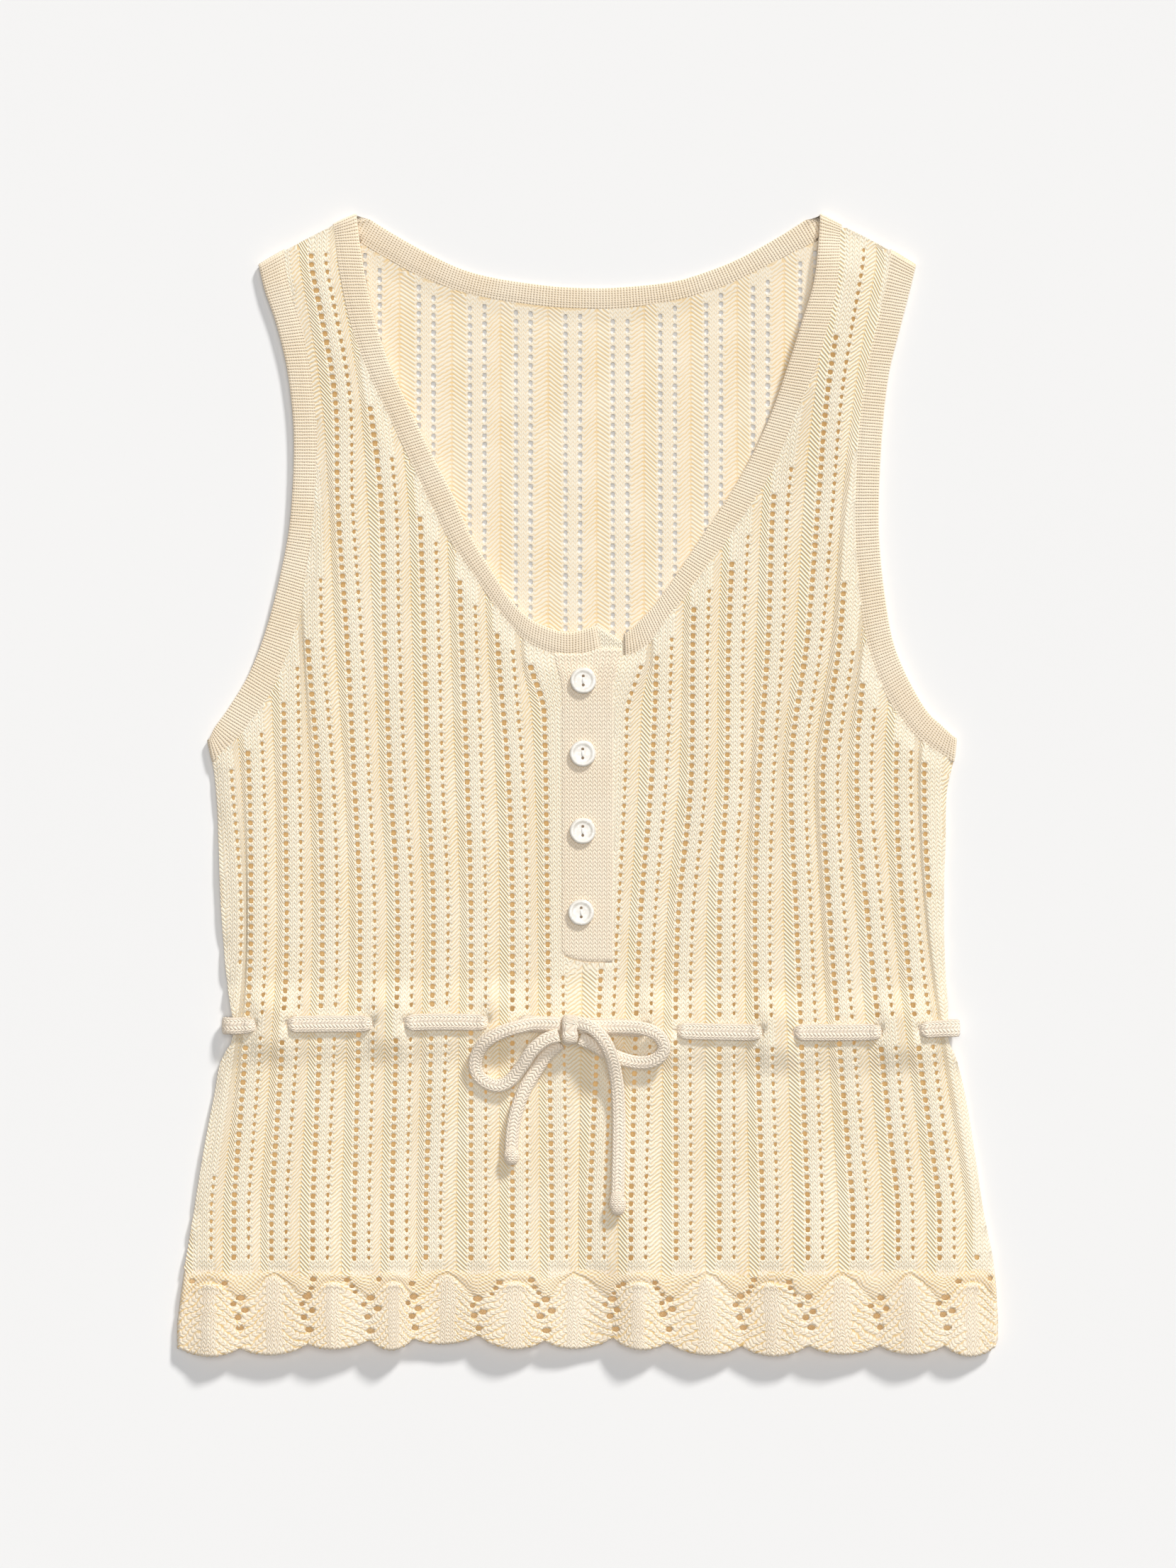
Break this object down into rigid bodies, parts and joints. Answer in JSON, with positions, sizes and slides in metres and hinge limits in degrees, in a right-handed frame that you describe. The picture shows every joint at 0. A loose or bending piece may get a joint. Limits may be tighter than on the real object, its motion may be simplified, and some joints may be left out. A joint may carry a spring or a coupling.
{
  "type": "pointelle peplum tank top",
  "caption": "Sleeveless scoop-neck knit top laid flat, with openwork ribs, a buttoned placket, a bow-tied waist drawstring, a flared peplum and a scalloped lace hem",
  "frame": {"origin": "middle of the garment's outline, on the surface it lies on", "axes": "+X to the picture's right across the garment, +Y from the hem to the neck, +Z out of its front"},
  "size_m": [0.4368, 0.6087, 0.0193],
  "materials": {
    "body_knit": "soft matte cotton knit",
    "band_knit": "soft matte fine-rib knit",
    "cord": "soft matte knitted cord",
    "buttons": "pearly gloss"
  },
  "bodies": {
    "root": {"front_panel": "body_knit", "back_panel": "body_knit", "neckband": "band_knit", "armband_left": "band_knit", "armband_right": "band_knit", "placket_over": "band_knit", "placket_under": "body_knit", "button_1": "buttons", "button_2": "buttons", "button_3": "buttons", "button_4": "buttons", "drawstring_waist": "cord", "bow_knot": "cord", "bow_loop_left": "cord", "bow_loop_right": "cord", "bow_tail_left": "cord", "bow_tail_right": "cord", "end_knot_left": "cord", "end_knot_right": "cord"}
  },
  "joints": []
}
